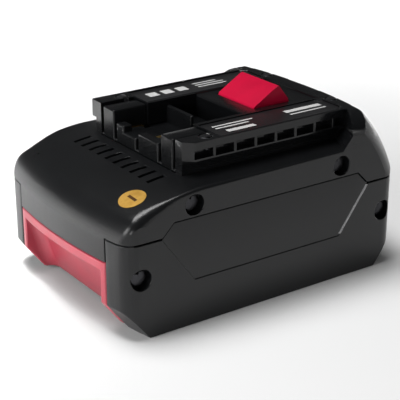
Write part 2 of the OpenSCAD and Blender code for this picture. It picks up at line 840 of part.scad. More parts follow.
// Outline of one arm from the riser over the first cell to the cam plate
module arm_outline() {
    x0 = riser_x;
    x1 = riser_x + riser_t;
    polygon([
        [x0, scoop_z + 1], [x1, scoop_z + 1], [x1, cell_top - 5.1],
        [cell_left - 1, cell_top - 1.1], [cell_left + 3.6, arm_z0],
        [arm_end_x, arm_z0], [arm_end_x, pin_z], [arm_end_x - 2, pin_z + cam_r + cam_rim],
        [pin_x - 1.6, pin_z + cam_r + cam_rim], [pin_x - button_travel - 3.4, pin_z - latch_drop + 1],
        [pin_x - button_travel - 4.4, arm_z1], [cell_left + 7.6, arm_z1],
        [cell_left + 3.1, arm_z1 - 0.8], [cell_left - 1.4, arm_z1 - 2.2],
        [x0 + 0.6, cell_top - 3.8], [x0, cell_top - 4.6]
    ]);
}

// Sloping slot of the cam plate, along the path of the pin seen from the button
module cam_slot() {
    bar_y(pin_x, pin_z, cam_r, -half_w, half_w);
    bar_y(pin_x - button_travel, pin_z - latch_drop, cam_r, -half_w, half_w);
    translate([pin_x, 0, pin_z]) rotate([0, atan2(latch_drop, -button_travel), 0])
        span([0, -half_w, -cam_flat], [cam_reach, half_w, cam_flat]);
}

module release_button() {
    color([0.75, 0.02, 0.1]) {
        difference() {
            intersection() {
                body(0, 0);
                along_y(-button_half, button_half) polygon([
                    [-big, button_base], [scoop_x(button_base) + scoop_wall, button_base],
                    [scoop_x(button_z) + scoop_wall, button_z], [-big, button_z]
                ]);
            }
            along_y(-scoop_half, scoop_half) polygon([
                [-big, -1], [scoop_x(-1), -1], [scoop_x(scoop_z), scoop_z], [-big, scoop_z]
            ]);
        }
        span([riser_x, -arm_y, scoop_z + 1], [riser_x + riser_t, arm_y, cell_top - 5.1]);
        difference() {
            both_sides() along_y(arm_y - arm_t, arm_y) arm_outline();
            cam_slot();
        }
    }
}

// Wedge that locks the pack in the tool, with a stop flange, pin bore and spring pockets
module latch() {
    x1 = latch_x + latch_l;
    ridge_x = latch_x + latch_ridge;
    ridge_z = latch_deck_z + latch_rise;
    color([0.8, 0.01, 0.12]) difference() {
        union() {
            along_y(-latch_w / 2, latch_w / 2) polygon([
                [latch_x, latch_base_z], [x1, latch_base_z], [x1, latch_deck_z + 0.4],
                [ridge_x + 0.4, ridge_z], [ridge_x - 0.4, ridge_z], [latch_x, latch_deck_z + 0.1]
            ]);
            translate([0, 0, latch_base_z]) linear_extrude(latch_flange_h) latch_plan(latch_flange);
        }
        bar_y(pin_x, pin_z, pin_d / 2 + hole_fit / 2, -half_w, half_w);
        for (sy = [-1, 1])
            translate([spring_x, sy * spring_y, latch_base_z - 1])
                cylinder(h = spring_top - latch_base_z + 1, d = spring_pocket_d);
    }
}

module cam_pin() {
    color([0.75, 0.76, 0.78]) bar_y(pin_x, pin_z, pin_d / 2, -pin_half, pin_half);
}

// One coil spring as a tube swept along a helix, closed at both ends
function coil_point(i, k) =
    let (a = 360 * i / turn_n, b = 360 * k / ring_n, w = spring_wire / 2)
    let (out = w * cos(b), along = w * sin(b))
    [
        (coil_r + out) * cos(a) + along * sin(coil_lead) * sin(a),
        (coil_r + out) * sin(a) - along * sin(coil_lead) * cos(a),
        coil_h * i / coil_steps + along * cos(coil_lead)
    ];
module coil() {
    points = [for (i = [0 : coil_steps], k = [0 : ring_n - 1]) coil_point(i, k)];
    last = coil_steps * ring_n;
    polyhedron(points, concat(
        [for (i = [0 : coil_steps - 1], k = [0 : ring_n - 1])
            let (n = (k + 1) % ring_n, a = i * ring_n)
            [a + k, a + ring_n + k, a + n]],
        [for (i = [0 : coil_steps - 1], k = [0 : ring_n - 1])
            let (n = (k + 1) % ring_n, a = i * ring_n)
            [a + n, a + ring_n + k, a + ring_n + n]],
        [for (k = [1 : ring_n - 2]) [0, k, k + 1]],
        [for (k = [1 : ring_n - 2]) [last, last + k + 1, last + k]]
    ));
}

module latch_springs() {
    color([0.7, 0.71, 0.73])
        for (sy = [-1, 1])
            translate([spring_x, sy * spring_y, spring_low + spring_wire / 2 + 0.05]) coil();
}

// Side screw with a hexagon recess, on the minus Y side
module side_screw(p) {
    difference() {
        union() {
            bar_y(p[0], p[1], head_d / 2, -seat_y - head_h, -seat_y);
            bar_y(p[0], p[1], shank_d / 2, -seat_y - 0.5, p[0] < -screw_upper_x ? -lug_shank_end_y : -shank_end_y);
        }
        translate([p[0], -seat_y - head_h + recess_depth, p[1]]) rotate([90, 0, 0])
            cylinder(h = 2, d = head_d * 0.5, $fn = 6);
    }
}

module side_screws() {
    color([0.3, 0.3, 0.31]) both_sides() for (p = side_screw_places) side_screw(p);
}

module rail_screws() {
    color([0.22, 0.22, 0.23])
        for (p = rail_screw_places)
            translate([p[0], p[1], 0]) difference() {
                union() {
                    translate([0, 0, rail_seat_z]) cylinder(h = rail_head_h, d = rail_head_d);
                    translate([0, 0, rail_screw_end_z])
                        cylinder(h = rail_seat_z - rail_screw_end_z + 0.5, d = rail_shank_d);
                }
                translate([0, 0, rail_seat_z + 0.4]) cylinder(h = 2, d = rail_head_d * 0.5, $fn = 6);
            }
}

// One cell along Y, odd columns have the raised terminal at the far side
module cell(i) {
    col = floor(i / rows);
    row = i % rows;
    turn = col % 2;
    color(row == 0 ? [0.1, 0.4, 0.55] : [0.12, 0.45, 0.6])
        mirror([0, turn, 0]) {
            bar_y(cell_x(col), cell_z(row), cell_d / 2, -cell_end + terminal_h, cell_end);
            bar_y(cell_x(col), cell_z(row), terminal_d / 2, -cell_end, -cell_end + terminal_h + 0.5);
        }
}

// Outline of one strip: bars along the rows and an upright bar, grown by g
module strip_outline(s, g) {
    h = strip_w / 2 + g;
    for (row = [0 : rows - 1])
        translate([cell_x(s[0]) - h, cell_z(row) - h])
            square([cell_x(s[1]) - cell_x(s[0]) + 2 * h, 2 * h]);
    translate([cell_x(s[0]) - h, cell_z(0)])
        square([2 * h, cell_z(rows - 1) - cell_z(0)]);
}

module strip(i) {
    s = strip_cols[i];
    color([0.8, 0.8, 0.78])
        mirror([0, s[2] > 0 ? 1 : 0, 0])
            along_y(-cell_end - strip_t, -cell_end) strip_outline(s, 0);
}

// Moulded end frame for the cells with lugs for the side and rail screws, on the minus Y side
module cell_holder(side) {
    color([0.16, 0.16, 0.17]) difference() {
        intersection() {
            body(wall + fit, toe_wall + 0.02);
            union() {
                span([cell_left - 0.6, -holder_out, 0], [half_l, -holder_in, holder_top]);
                for (p = side_screw_places)
                    if (p[1] > part_low)
                        span([p[0] - 4, -holder_out, p[1] - 4], [p[0] + 4, -holder_in, p[1] + 2.4]);
                    else if (p[0] < 0)
                        span([-big, -holder_out, p[1] - 3.7], [cell_left, -lug_in, p[1] + 3.7]);
                for (p = rail_screw_places)
                    if (p[1] < 0)
                        span([p[0] - 2.6, p[0] < 0 ? -holder_in - 2 : -holder_in - 1, holder_top - 2],
                             [p[0] + 3, p[1] + 2.2, p[0] < 0 ? deck_z - wall - fit : post_top_z - fit]);
            }
        }
        for (col = [0 : cols - 1], row = [0 : rows - 1])
            bar_y(cell_x(col), cell_z(row), cell_d / 2 + cell_fit, -cell_end, 0);
        for (s = strip_cols)
            if (s[2] == side)
                along_y(-half_w, -cell_end) strip_outline(s, strip_room);
        if (side < 0)
            tab_room(lead_x, lead_x + lead_w, cell_x(0));
        else
            tab_room(wire_x - wire_tab, wire_x + wire_tab, cell_x(cols - 1));
        for (p = side_screw_places)
            bar_y(p[0], p[1], shank_d / 2 + hole_fit, -half_w, -shank_end_y + 0.5);
        along_y(-apron_half - 0.3, 0) polygon([
            [-big, -1], [scoop_x(-1) + press_room, -1],
            [scoop_x(button_top) + press_room, button_top], [-big, button_top]
        ]);
        for (p = rail_screw_places)
            translate([p[0], p[1], rail_screw_end_z - 0.3])
                cylinder(h = big, d = rail_shank_d + 2 * hole_fit);
    }
}

// Way through the end plate for a tab that rises between x0 and x1 and joins a strip at xs
module tab_room(x0, x1, xs) {
    z0 = cell_z(1) - fit;
    span([x0 - fit, -half_w, z0], [x1 + fit, -cell_end, big]);
    span([min(x0, xs) - fit, -half_w, z0], [max(x1, xs) + fit, -cell_end, cell_z(1) + lead_h + fit]);
}

module cell_holder_near() {
    cell_holder(-1);
}

module cell_holder_far() {
    mirror([0, 1, 0]) cell_holder(1);
}

// Paper sheet over the strips, on the minus Y side
module insulator() {
    color([0.72, 0.7, 0.6])
        span([cell_left + 1, -holder_out - insulator_t, cell_base + 2],
             [cell_x(cols - 1) + 2, -holder_out, part_high - 0.8]);
}

// Straight round run between two points
module run(a, b, r) {
    d = b - a;
    l = norm(d);
    translate(a) rotate([0, acos(d[2] / l), atan2(d[1], d[0])]) cylinder(h = l, r = r);
}

// Flat tab on the last strip and an insulated wire from it over the holder to the board
module lead_positive() {
    y0 = cell_end + strip_t;
    x0 = wire_x - wire_tab;
    color([0.7, 0.05, 0.05]) {
        span([x0, y0, cell_z(1)], [cell_x(cols - 1), y0 + lead_t, cell_z(1) + lead_h]);
        span([x0, y0, cell_z(1)], [wire_x + wire_tab, y0 + lead_t, wire_z + wire_r]);
        for (i = [0 : len(wire_path) - 2]) run(wire_path[i], wire_path[i + 1], wire_r);
        for (i = [1 : len(wire_path) - 2]) translate(wire_path[i]) sphere(wire_r);
    }
}

// Flat tab from the first strip up over the holder and under the edge of the board
module lead_negative() {
    x1 = lead_x + lead_w;
    y0 = -cell_end - strip_t;
    color([0.8, 0.8, 0.78]) {
        span([cell_x(0), y0 - lead_t, cell_z(1)], [x1, y0, cell_z(1) + lead_h]);
        span([lead_x, y0 - lead_t, cell_z(1)], [x1, y0, board_z]);
        span([lead_x, y0 - lead_t, board_z - lead_t], [x1, -board_half + 3, board_z]);
    }
}

// Bead in the valley between two upper cells with two thin legs to the board
module thermistor() {
    color([0.15, 0.15, 0.15]) {
        translate([thermistor_x, 0, thermistor_z]) sphere(thermistor_r);
        for (s = [-1, 1])
            translate([thermistor_x, s * 0.8, thermistor_z])
                cylinder(h = board_z - thermistor_z, r = 0.3);
    }
}

module rail_label(side) {
    color([0.06, 0.06, 0.07]) mirror([0, side > 0 ? 1 : 0, 0])
        translate([0, 0, latch_deck_z + glue]) linear_extrude(film_t) label_outline(fit);
}

// Round seal lying on the front sweep
module round_sticker() {
    r = norm([seal_x - bow_c, seal_y]);
    z = front_sweep_z + sqrt(pow(front_sweep_r, 2) - pow(r - front_sweep_c, 2));
    tilt = asin((r - front_sweep_c) / front_sweep_r);
    turn = atan2(seal_y, seal_x - bow_c);
    color([0.8, 0.62, 0.2]) intersection() {
        translate([seal_x, seal_y, z]) rotate([0, 0, turn]) rotate([0, tilt, 0])
            cylinder(h = 4, d = seal_d, center = true);
        translate([bow_c, 0, 0]) rotate_extrude($fn = round_fn) difference() {
            front_profile(-glue - film_t, 0);
            front_profile(-glue, 0);
        }
    }
}

bottom_shell();
top_shell();
contact_holder();
board_tray();
bms_board();
board_parts();
for (i = [0 : 4]) contact(i);
release_button();
latch();
cam_pin();
latch_springs();
side_screws();
rail_screws();
for (i = [0 : 9]) cell(i);
cell_holder_near();
cell_holder_far();
for (i = [0 : 5]) strip(i);
insulator();  // insulator_near
mirror([0, 1, 0]) insulator();  // insulator_far
lead_positive();
lead_negative();
thermistor();
rail_label(-1);  // rail_label_near
rail_label(1);  // rail_label_far
round_sticker();
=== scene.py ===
import math

import bmesh
import bpy
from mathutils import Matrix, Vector
from mathutils.bvhtree import BVHTree
from mathutils.geometry import intersect_point_line


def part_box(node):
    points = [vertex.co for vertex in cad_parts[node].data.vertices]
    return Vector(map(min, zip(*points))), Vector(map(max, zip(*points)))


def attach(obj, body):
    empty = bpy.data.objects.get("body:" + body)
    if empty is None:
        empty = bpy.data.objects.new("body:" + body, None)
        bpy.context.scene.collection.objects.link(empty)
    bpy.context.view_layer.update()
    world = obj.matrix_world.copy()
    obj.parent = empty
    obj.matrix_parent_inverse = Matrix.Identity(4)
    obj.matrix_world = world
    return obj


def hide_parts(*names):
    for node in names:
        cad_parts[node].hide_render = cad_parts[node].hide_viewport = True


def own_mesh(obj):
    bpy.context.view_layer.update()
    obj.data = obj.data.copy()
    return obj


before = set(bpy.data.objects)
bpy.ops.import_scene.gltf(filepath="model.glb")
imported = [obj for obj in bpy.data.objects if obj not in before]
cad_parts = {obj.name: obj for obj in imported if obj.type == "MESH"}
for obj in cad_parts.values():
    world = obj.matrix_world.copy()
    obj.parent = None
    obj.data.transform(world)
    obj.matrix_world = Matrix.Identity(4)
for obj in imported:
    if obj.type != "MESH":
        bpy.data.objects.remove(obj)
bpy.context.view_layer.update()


# Camera
# A long lens to the left of the long side and a little above the pack.
# It looks at the middle of the case, as the photograph was taken.
camera = bpy.data.objects.new("photo_camera", bpy.data.cameras.new("photo_camera"))
bpy.context.scene.collection.objects.link(camera)
camera.data.sensor_width = 36
camera.data.lens = 109.3
camera_target = Vector((-0.00114, 0.00002, 0.02271))
camera_distance = 0.41458
turn = math.radians(-34.8)
lift = math.radians(22.18)
away = Vector(
    (math.sin(turn) * math.cos(lift), -math.cos(turn) * math.cos(lift), math.sin(lift))
)
camera.location = camera_target + camera_distance * away
camera.rotation_euler = away.to_track_quat("Z", "Y").to_euler()
bpy.context.scene.camera = camera


# Cells
# Ten steel cans in a thin printed plastic sleeve, shrunk over the rolled edge.
# They lie in two rows of five, held at both ends by the moulded frames.
def new_finish(name):
    material = bpy.data.materials.new(name)
    material.use_nodes = True
    tree = material.node_tree
    return material, tree.nodes, tree.links, tree.nodes["Principled BSDF"]


def dress(pieces, material):
    for piece in pieces:
        piece.data.materials.clear()
        piece.data.materials.append(material)


def new_group(name, inputs, outputs):
    group = bpy.data.node_groups.new(name, "ShaderNodeTree")
    for label, value in inputs:
        socket = group.interface.new_socket(label, in_out="INPUT", socket_type="NodeSocketFloat")
        socket.default_value = value
    for label in outputs:
        group.interface.new_socket(label, in_out="OUTPUT", socket_type="NodeSocketFloat")
    return group, group.nodes.new("NodeGroupInput"), group.nodes.new("NodeGroupOutput")


def add_math(nodes, links, operation, first, second=None, clamp=False):
    node = nodes.new("ShaderNodeMath")
    node.operation = operation
    node.use_clamp = clamp
    for socket, value in zip(node.inputs, (first, second)):
        if value is None:
            continue
        if isinstance(value, (int, float)):
            socket.default_value = value
        else:
            links.new(value, socket)
    return node.outputs[0]


def place_group(nodes, group, **values):
    node = nodes.new("ShaderNodeGroup")
    node.node_tree = group
    for label, value in values.items():
        node.inputs[label.replace("_", " ").capitalize()].default_value = value
    return node


def colour_ramp(nodes, links, factor, stops):
    ramp = nodes.new("ShaderNodeValToRGB")
    for i, (position, colour) in enumerate(stops):
        stop = ramp.color_ramp.elements[i] if i < 2 else ramp.color_ramp.elements.new(position)
        stop.position = position
        stop.color = (*colour, 1)
    links.new(factor, ramp.inputs[0])
    return ramp.outputs[0]


# Fine grain and broad mottle of a moulded or rolled surface, sizes in metres
grain_group, grain_in, grain_out = new_group(
    "surface_grain", [("Grain size", 0.0004), ("Mottle size", 0.012)], ["Height", "Mottle"]
)
grain_place = grain_group.nodes.new("ShaderNodeTexCoord")
for size_label, out_label, detail in (("Grain size", "Height", 2), ("Mottle size", "Mottle", 4)):
    grain_noise = grain_group.nodes.new("ShaderNodeTexNoise")
    grain_noise.inputs["Detail"].default_value = detail
    grain_scale = add_math(
        grain_group.nodes, grain_group.links, "DIVIDE", 1.0, grain_in.outputs[size_label]
    )
    grain_group.links.new(grain_place.outputs["Object"], grain_noise.inputs["Vector"])
    grain_group.links.new(grain_scale, grain_noise.inputs["Scale"])
    grain_group.links.new(grain_noise.outputs["Fac"], grain_out.inputs[out_label])


def map_range(nodes, links, value, from_low, from_high, to_low=0.0, to_high=1.0):
    node = nodes.new("ShaderNodeMapRange")
    links.new(value, node.inputs["Value"])
    node.inputs["From Min"].default_value = from_low
    node.inputs["From Max"].default_value = from_high
    node.inputs["To Min"].default_value = to_low
    node.inputs["To Max"].default_value = to_high
    return node.outputs[0]


def mix_colour(nodes, links, factor, under, over):
    layer = nodes.new("ShaderNodeMix")
    layer.data_type = "RGBA"
    links.new(factor, layer.inputs["Factor"])
    links.new(under, layer.inputs["A"])
    layer.inputs["B"].default_value = (*over, 1)
    return layer.outputs["Result"]


def grain_bump(nodes, links, shader, grain_node, depth):
    bump = nodes.new("ShaderNodeBump")
    bump.inputs["Distance"].default_value = depth
    links.new(grain_node.outputs["Height"], bump.inputs["Height"])
    links.new(bump.outputs[0], shader.inputs["Normal"])


def grained_finish(name, dark, light, rough, grain, depth, metallic=0.0):
    material, nodes, links, shader = new_finish(name)
    grain_node = place_group(nodes, grain_group, grain_size=grain)
    mottle = grain_node.outputs["Mottle"]
    tone = colour_ramp(nodes, links, mottle, [(0.3, dark), (0.7, light)])
    links.new(tone, shader.inputs["Base Color"])
    links.new(map_range(nodes, links, mottle, 0.3, 0.7, *rough), shader.inputs["Roughness"])
    grain_bump(nodes, links, shader, grain_node, depth)
    shader.inputs["Metallic"].default_value = metallic
    return material


cell_sleeve = grained_finish(
    "cell_sleeve", (0.02, 0.12, 0.2), (0.03, 0.16, 0.25),
    rough=(0.25, 0.4), grain=0.0006, depth=0.00001,
)
dress([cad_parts[f"cell_{i}"] for i in range(1, 11)], cell_sleeve)


# Cell strips and flat tab
# Nickel plated strip, spot welded to the cans, with a tab that runs up to the board.
# The rolling leaves fine streaks and a soft sheen.
nickel_strip = grained_finish(
    "nickel_strip", (0.5, 0.48, 0.44), (0.62, 0.6, 0.56),
    rough=(0.25, 0.42), grain=0.0005, depth=0.000006, metallic=1.0,
)
dress([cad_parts[f"strip_{i}"] for i in range(1, 7)], nickel_strip)
dress([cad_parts["lead_negative"]], nickel_strip)


# Insulators
# Pressed barley paper, stuck over the strips on both sides of the cells.
# The fibres give it a rough, cloudy face.
barley_paper = grained_finish(
    "barley_paper", (0.4, 0.36, 0.24), (0.52, 0.48, 0.34),
    rough=(0.75, 0.9), grain=0.0005, depth=0.00004,
)
dress([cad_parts["insulator_near"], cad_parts["insulator_far"]], barley_paper)


# Cell frames and board tray
# Dark grey moulded nylon frames that take the screws, with the tray lying on the cells.
# Unpolished tools leave them dull.
frame_nylon = grained_finish(
    "frame_nylon", (0.02, 0.02, 0.022), (0.03, 0.03, 0.032),
    rough=(0.5, 0.65), grain=0.0004, depth=0.00002,
)
for node in ("cell_holder_near", "cell_holder_far", "board_tray"):
    dress([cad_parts[node]], frame_nylon)


# Protection board with its parts, sensor and lead
# A green lacquered board with black moulded packages, a bead sensor and a red silicone lead.
# The board stands on posts of the tray under the terminal block.
board_lacquer = grained_finish(
    "board_lacquer", (0.01, 0.07, 0.03), (0.015, 0.1, 0.04),
    rough=(0.25, 0.4), grain=0.0008, depth=0.00001,
)
chip_resin = grained_finish(
    "chip_resin", (0.012, 0.012, 0.012), (0.02, 0.02, 0.02),
    rough=(0.5, 0.7), grain=0.0003, depth=0.00001,
)
lead_silicone = grained_finish(
    "lead_silicone", (0.4, 0.01, 0.01), (0.5, 0.02, 0.02),
    rough=(0.45, 0.6), grain=0.0006, depth=0.00001,
)
dress([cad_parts["bms_board"]], board_lacquer)
dress([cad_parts["board_parts"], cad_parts["thermistor"]], chip_resin)
dress([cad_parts["lead_positive"]], lead_silicone)


# Bottom shell
# The lower half of the case, moulded in black glass-filled nylon with a fine spark-eroded grain.
# Four screws on each side pull it up to the other half.
def merged_copy(node, name):
    piece = bpy.data.objects.new(name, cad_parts[node].data.copy())
    bpy.context.scene.collection.objects.link(piece)
    bpy.ops.object.select_all(action="DESELECT")
    piece.select_set(True)
    bpy.context.view_layer.objects.active = piece
    bpy.ops.object.mode_set(mode="EDIT")
    bpy.ops.mesh.select_all(action="SELECT")
    bpy.ops.mesh.remove_doubles(threshold=0.000002)
    bpy.ops.mesh.dissolve_limited(angle_limit=math.radians(0.4))
    bpy.ops.object.mode_set(mode="OBJECT")
    return piece


def folded_spots(piece, surface, radius):
    least_area, turned_over, widest_gap = 2e-10, -0.2, radius * 0.8
    made = bmesh.new()
    made.from_mesh(piece.data)
    bmesh.ops.triangulate(made, faces=made.faces[:])
    spots = []
    for face in made.faces:
        if face.calc_area() > least_area:
            _, normal, _, gap = surface.find_nearest(face.calc_center_median())
            if normal.dot(face.normal) < turned_over or gap > widest_gap:
                spots += [corner.co.copy() for corner in face.verts]
    made.free()
    return spots


def near_spot(edge, spots, reach):
    start, end = (corner.co for corner in edge.verts)
    for spot in spots:
        share = intersect_point_line(spot, start, end)[1]
        if (start.lerp(end, min(max(share, 0), 1)) - spot).length < reach:
            return True
    return False


def shade_round_flat(piece):
    wide_area, same_way, sharp = 1.5e-6, 0.999998, math.radians(35)
    bpy.ops.object.shade_smooth()
    work = bmesh.new()
    work.from_mesh(piece.data)
    bmesh.ops.triangulate(work, faces=work.faces[:])
    work.normal_update()
    flat = {}
    for seed in work.faces:
        if seed in flat:
            continue
        patch, found = [seed], {seed}
        for face in patch:
            for edge in face.edges:
                for other in edge.link_faces:
                    if other not in found and other.normal.dot(seed.normal) > same_way:
                        found.add(other)
                        patch.append(other)
        wide = sum(face.calc_area() for face in patch) > wide_area
        flat.update({face: wide for face in patch})
    # A flat keeps its own shading, and only the rounding between flats is smoothed
    for edge in work.edges:
        sides = {flat[face] for face in edge.link_faces}
        edge.smooth = len(sides) == 1 and edge.calc_face_angle(3.0) < sharp
    work.to_mesh(piece.data)
    work.free()


def round_edges(piece, radius, share_at):
    steps, sharp, tries, fold_reach = 3, math.radians(26), 7, radius * 1.6
    bpy.ops.object.select_all(action="DESELECT")
    piece.select_set(True)
    bpy.context.view_layer.objects.active = piece
    bpy.ops.object.mode_set(mode="EDIT")
    bpy.ops.mesh.select_all(action="SELECT")
    bpy.ops.mesh.remove_doubles(threshold=0.000004)
    bpy.ops.mesh.dissolve_limited(angle_limit=math.radians(0.4))
    bpy.ops.mesh.quads_convert_to_tris(quad_method="BEAUTY", ngon_method="BEAUTY")
    bpy.ops.object.mode_set(mode="OBJECT")
    plan = bmesh.new()
    plan.from_mesh(piece.data)
    surface = BVHTree.FromBMesh(plan)
    weight = plan.edges.layers.float.new("bevel_weight_edge")
    for edge in plan.edges:
        if edge.is_manifold and edge.is_convex and edge.calc_face_angle() > sharp:
            edge[weight] = share_at((edge.verts[0].co + edge.verts[1].co) / 2)
    # Edges whose rounding would fold a face over are left sharp
    for _ in range(tries):
        plan.to_mesh(piece.data)
        edge_round = piece.modifiers.new("edge_round", "BEVEL")
        edge_round.limit_method = "WEIGHT"
        edge_round.width = radius
        edge_round.segments = steps
        edge_round.use_clamp_overlap = False
        edge_round.loop_slide = False
        bpy.ops.object.modifier_apply(modifier="edge_round")
        spots = folded_spots(piece, surface, radius)
        if not spots:
            break
        for edge in plan.edges:
            if edge[weight] > 0 and near_spot(edge, spots, fold_reach):
                edge[weight] = 0.0
    plan.free()
    shade_round_flat(piece)


# Lighter colour along edges, part wear and part painted edge highlight, from how far the rounded
# normal leaves the face
wear_glint_group, wear_glint_in, wear_glint_out = new_group(
    "edge_wear_and_glint", [("Reach", 0.0006), ("Amount", 2.0)], ["Wear"]
)
wear_glint_round = wear_glint_group.nodes.new("ShaderNodeBevel")
wear_glint_round.samples = 4
wear_glint_face = wear_glint_group.nodes.new("ShaderNodeNewGeometry")
wear_glint_dot = wear_glint_group.nodes.new("ShaderNodeVectorMath")
wear_glint_dot.operation = "DOT_PRODUCT"
wear_glint_place = wear_glint_group.nodes.new("ShaderNodeTexCoord")
wear_glint_noise = wear_glint_group.nodes.new("ShaderNodeTexNoise")
wear_glint_noise.inputs["Scale"].default_value = 420
wear_glint_noise.inputs["Detail"].default_value = 5
wear_glint_group.links.new(wear_glint_in.outputs["Reach"], wear_glint_round.inputs["Radius"])
wear_glint_group.links.new(wear_glint_round.outputs[0], wear_glint_dot.inputs[0])
wear_glint_group.links.new(wear_glint_face.outputs["Normal"], wear_glint_dot.inputs[1])
wear_glint_group.links.new(wear_glint_place.outputs["Object"], wear_glint_noise.inputs["Vector"])
wear_glint_gap = add_math(wear_glint_group.nodes, wear_glint_group.links, "SUBTRACT", 1.0, wear_glint_dot.outputs["Value"])
wear_glint_broken = add_math(
    wear_glint_group.nodes, wear_glint_group.links, "MULTIPLY", wear_glint_gap, wear_glint_noise.outputs["Fac"]
)
wear_and_glint_mask = add_math(
    wear_glint_group.nodes, wear_glint_group.links, "MULTIPLY", wear_glint_broken, wear_glint_in.outputs["Amount"], True
)
wear_glint_group.links.new(wear_and_glint_mask, wear_glint_out.inputs["Wear"])

# Dust that settles on faces that look up
dust_group, dust_in, dust_out = new_group("settled_dust", [("Amount", 0.5)], ["Dust"])
dust_place = dust_group.nodes.new("ShaderNodeTexCoord")
dust_split = dust_group.nodes.new("ShaderNodeSeparateXYZ")
dust_specks = dust_group.nodes.new("ShaderNodeTexNoise")
dust_specks.inputs["Scale"].default_value = 1500
dust_specks.inputs["Detail"].default_value = 6
dust_group.links.new(dust_place.outputs["Normal"], dust_split.inputs[0])
dust_group.links.new(dust_place.outputs["Object"], dust_specks.inputs["Vector"])
dust_up = map_range(dust_group.nodes, dust_group.links, dust_split.outputs["Z"], 0.2, 1.0)
dust_sharp = map_range(dust_group.nodes, dust_group.links, dust_specks.outputs["Fac"], 0.62, 0.72)
dust_both = add_math(dust_group.nodes, dust_group.links, "MULTIPLY", dust_up, dust_sharp)
dust_mask = add_math(
    dust_group.nodes, dust_group.links, "MULTIPLY", dust_both, dust_in.outputs["Amount"], True
)
dust_group.links.new(dust_mask, dust_out.inputs["Dust"])


def moulded_plastic(
    name, body, worn_glint_tone, dusty, rough, grain, depth, reach, wear_glint_amount, dust, specular, polish_z=None
):
    material, nodes, links, shader = new_finish(name)
    shader.inputs["Specular IOR Level"].default_value = specular
    grain_node = place_group(nodes, grain_group, grain_size=grain)
    wear_glint_node = place_group(nodes, wear_glint_group, reach=reach, amount=wear_glint_amount)
    dust_node = place_group(nodes, dust_group, amount=dust)
    mottle = grain_node.outputs["Mottle"]
    darker = tuple(c * 0.82 for c in body)
    tone = colour_ramp(nodes, links, mottle, [(0.3, darker), (0.7, body)])
    # Rounded edges take a lighter tone, part wear and part painted edge highlight
    tone = mix_colour(nodes, links, wear_glint_node.outputs[0], tone, worn_glint_tone)
    tone = mix_colour(nodes, links, dust_node.outputs[0], tone, dusty)
    links.new(tone, shader.inputs["Base Color"])
    rough_spread, worn_polish = 0.07, -0.12
    spread = add_math(nodes, links, "MULTIPLY", mottle, rough_spread)
    polish = add_math(nodes, links, "MULTIPLY", wear_glint_node.outputs[0], worn_polish)
    base = add_math(nodes, links, "ADD", spread, rough - rough_spread / 2)
    base = add_math(nodes, links, "ADD", base, polish, True)
    if polish_z:
        place = nodes.new("ShaderNodeTexCoord")
        split = nodes.new("ShaderNodeSeparateXYZ")
        links.new(place.outputs["Object"], split.inputs[0])
        # Above this height the faces were polished finer in the tool
        height = map_range(nodes, links, split.outputs["Z"], polish_z, polish_z + 0.0015, 1.0, 0.55)
        base = add_math(nodes, links, "MULTIPLY", base, height)
    links.new(base, shader.inputs["Roughness"])
    grain_bump(nodes, links, shader, grain_node, depth)
    return material


case_black = moulded_plastic(
    "case_black", (0.0056, 0.006, 0.0067), (0.014, 0.014, 0.015), (0.03, 0.029, 0.027),
    rough=0.29, grain=0.0004, depth=0.00002, reach=0.0007, wear_glint_amount=0.6, dust=0.05,
    specular=0.4, polish_z=0.0462,
)
# Painted highlight: a thin near-white line on the slanting rear edge of the near side panel
glint_across_way, glint_offset, glint_half_width = (0.806, 0, -0.592), 0.01426, 0.0003
glint_middle_z, glint_half_height, glint_face_y = 0.0236, 0.0076, -0.0368
glint_nodes, glint_links = case_black.node_tree.nodes, case_black.node_tree.links
glint_place = glint_nodes.new("ShaderNodeTexCoord")
glint_split = glint_nodes.new("ShaderNodeSeparateXYZ")
glint_links.new(glint_place.outputs["Object"], glint_split.inputs[0])
glint_across = glint_nodes.new("ShaderNodeVectorMath")
glint_across.operation = "DOT_PRODUCT"
glint_links.new(glint_place.outputs["Object"], glint_across.inputs[0])
glint_across.inputs[1].default_value = glint_across_way
glint_width = add_math(glint_nodes, glint_links, "COMPARE", glint_across.outputs["Value"], glint_offset)
glint_width.node.inputs[2].default_value = glint_half_width
glint_height = add_math(glint_nodes, glint_links, "COMPARE", glint_split.outputs["Z"], glint_middle_z)
glint_height.node.inputs[2].default_value = glint_half_height
glint_near = add_math(glint_nodes, glint_links, "LESS_THAN", glint_split.outputs["Y"], glint_face_y)
glint_noise = glint_nodes.new("ShaderNodeTexNoise")
glint_noise.inputs["Scale"].default_value = 2600
glint_links.new(glint_place.outputs["Object"], glint_noise.inputs["Vector"])
painted_glint_mask = add_math(glint_nodes, glint_links, "MULTIPLY", glint_width, glint_height)
painted_glint_mask = add_math(glint_nodes, glint_links, "MULTIPLY", painted_glint_mask, glint_near)
painted_glint_mask = add_math(glint_nodes, glint_links, "MULTIPLY", painted_glint_mask, glint_noise.outputs["Fac"])
glint_tone = glint_nodes["Principled BSDF"].inputs["Base Color"]
glint_under = glint_tone.links[0].from_socket
# The masked line is mixed into the case colour as a near-white painted highlight
glint_links.new(mix_colour(glint_nodes, glint_links, painted_glint_mask, glint_under, (0.75, 0.75, 0.76)), glint_tone)

bottom_shell = merged_copy("bottom_shell", "lower_case")
